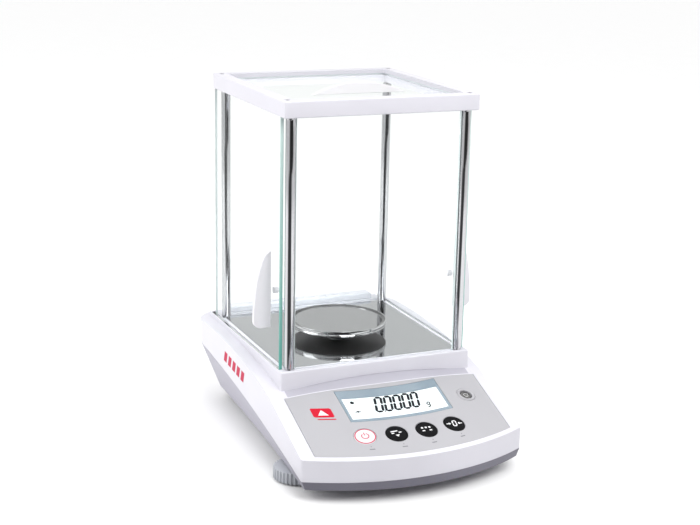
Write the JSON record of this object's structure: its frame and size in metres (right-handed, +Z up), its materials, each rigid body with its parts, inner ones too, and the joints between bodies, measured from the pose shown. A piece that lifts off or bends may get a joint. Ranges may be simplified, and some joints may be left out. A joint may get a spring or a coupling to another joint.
{
  "type": "analytical balance",
  "caption": "Analytical balance with a glass draft shield, three sliding doors, a round pan and levelling feet.",
  "frame": {"origin": "middle of the footprint, on the surface the feet stand on", "axes": "+Z up, -Y is the front with the control panel, +X is the user's right"},
  "size_m": [0.208, 0.317, 0.3189],
  "materials": {
    "white_housing": "satin",
    "grey_base": "satin",
    "panel_film": "satin",
    "black_key": "satin",
    "rubber": "matte",
    "chrome": "polished",
    "stainless": "brushed",
    "cast_aluminium": "satin",
    "clear_glass": "gloss",
    "smoked_window": "gloss",
    "lcd": "satin",
    "circuit_board": "satin",
    "vial": "gloss"
  },
  "bodies": {
    "housing": {"cell_bracket": "cast_aluminium", "data_port": "stainless", "display_window": "smoked_window", "floor_plate": "stainless", "frame_screw_front_left": "stainless", "frame_screw_front_right": "stainless", "frame_screw_rear_left": "stainless", "frame_screw_rear_right": "stainless", "front_glass": "clear_glass", "hook_cover_screw": "stainless", "housing_screw_front_left": "stainless", "housing_screw_front_right": "stainless", "housing_screw_rear_left": "stainless", "housing_screw_rear_right": "stainless", "keypad_board": "circuit_board", "lcd_module": "lcd", "level_bezel": "white_housing", "level_vial": "vial", "load_cell_frame": "cast_aluminium", "lower_housing": "grey_base", "magnet_housing": "stainless", "main_board": "circuit_board", "panel_overlay": "panel_film", "post_front_left": "chrome", "post_front_right": "chrome", "post_rear_left": "chrome", "post_rear_right": "chrome", "power_inlet": "black_key", "rear_cover": "white_housing", "rear_foot_left": "rubber", "rear_foot_right": "rubber", "rear_glass": "clear_glass", "security_bracket": "stainless", "shield_base": "white_housing", "top_frame": "white_housing", "track_liner_left": "rubber", "track_liner_right": "rubber", "upper_housing": "white_housing"},
    "pan_carrier": {"pan_carrier": "cast_aluminium"},
    "weighing_pan": {"weighing_pan": "stainless"},
    "left_door": {"left_door_glass": "clear_glass", "left_door_grip": "white_housing", "left_door_button": "white_housing"},
    "right_door": {"right_door_glass": "clear_glass", "right_door_grip": "white_housing", "right_door_button": "white_housing"},
    "top_door": {"top_door_glass": "clear_glass", "top_door_grip": "panel_film"},
    "power_key": {"power_key": "white_housing"},
    "print_key": {"print_key": "black_key"},
    "mode_key": {"mode_key": "black_key"},
    "zero_key": {"zero_key": "black_key"},
    "left_foot_pad": {"foot_pad_left": "rubber"},
    "right_foot_pad": {"foot_pad_right": "rubber"},
    "left_thumbwheel": {"thumbwheel_left": "grey_base"},
    "right_thumbwheel": {"thumbwheel_right": "grey_base"},
    "hook_cover": {"hook_cover": "grey_base"}
  },
  "joints": [
    {"name": "pan_give", "type": "slide", "parent": "housing", "child": "pan_carrier", "axis": [0, 0, -1], "range_m": [0, 0.0005], "stiffness_N_per_m": 30000},
    {"name": "pan_lift", "type": "slide", "parent": "pan_carrier", "child": "weighing_pan", "axis": [0, 0, 1], "range_m": [0, 0.03]},
    {"name": "left_door_slide", "type": "slide", "parent": "housing", "child": "left_door", "axis": [0, 1, 0], "range_m": [0, 0.128]},
    {"name": "right_door_slide", "type": "slide", "parent": "housing", "child": "right_door", "axis": [0, 1, 0], "range_m": [0, 0.128]},
    {"name": "top_door_slide", "type": "slide", "parent": "housing", "child": "top_door", "axis": [0, 1, 0], "range_m": [0, 0.11]},
    {"name": "power_key_press", "type": "slide", "parent": "housing", "child": "power_key", "axis": [0.0716, 0.3395, -0.9379], "range_m": [0, 0.0007], "stiffness_N_per_m": 1500},
    {"name": "print_key_press", "type": "slide", "parent": "housing", "child": "print_key", "axis": [0.0264, 0.3403, -0.94], "range_m": [0, 0.0007], "stiffness_N_per_m": 1500},
    {"name": "mode_key_press", "type": "slide", "parent": "housing", "child": "mode_key", "axis": [-0.0185, 0.3403, -0.9401], "range_m": [0, 0.0007], "stiffness_N_per_m": 1500},
    {"name": "zero_key_press", "type": "slide", "parent": "housing", "child": "zero_key", "axis": [-0.0648, 0.3397, -0.9383], "range_m": [0, 0.0007], "stiffness_N_per_m": 1500},
    {"name": "left_foot_travel", "type": "slide", "parent": "housing", "child": "left_foot_pad", "axis": [0, 0, -1], "range_m": [0, 0.005]},
    {"name": "left_wheel_turn", "type": "hinge", "parent": "left_foot_pad", "child": "left_thumbwheel", "pos_m": [-0.084, -0.0818, 0.006], "axis": [0, 0, -1], "range_deg": [0, 1440]},
    {"name": "right_foot_travel", "type": "slide", "parent": "housing", "child": "right_foot_pad", "axis": [0, 0, -1], "range_m": [0, 0.005]},
    {"name": "right_wheel_turn", "type": "hinge", "parent": "right_foot_pad", "child": "right_thumbwheel", "pos_m": [0.084, -0.0818, 0.006], "axis": [0, 0, -1], "range_deg": [0, 1440]},
    {"name": "hook_cover_swing", "type": "hinge", "parent": "housing", "child": "hook_cover", "pos_m": [0.017, 0.0335, 0.0109], "axis": [0, 0, 1], "range_deg": [0, 90]}
  ],
  "couplings": [
    {"joint": "left_foot_travel", "follows": "left_wheel_turn", "m_per_rad": 0.00019894},
    {"joint": "right_foot_travel", "follows": "right_wheel_turn", "m_per_rad": 0.00019894}
  ]
}
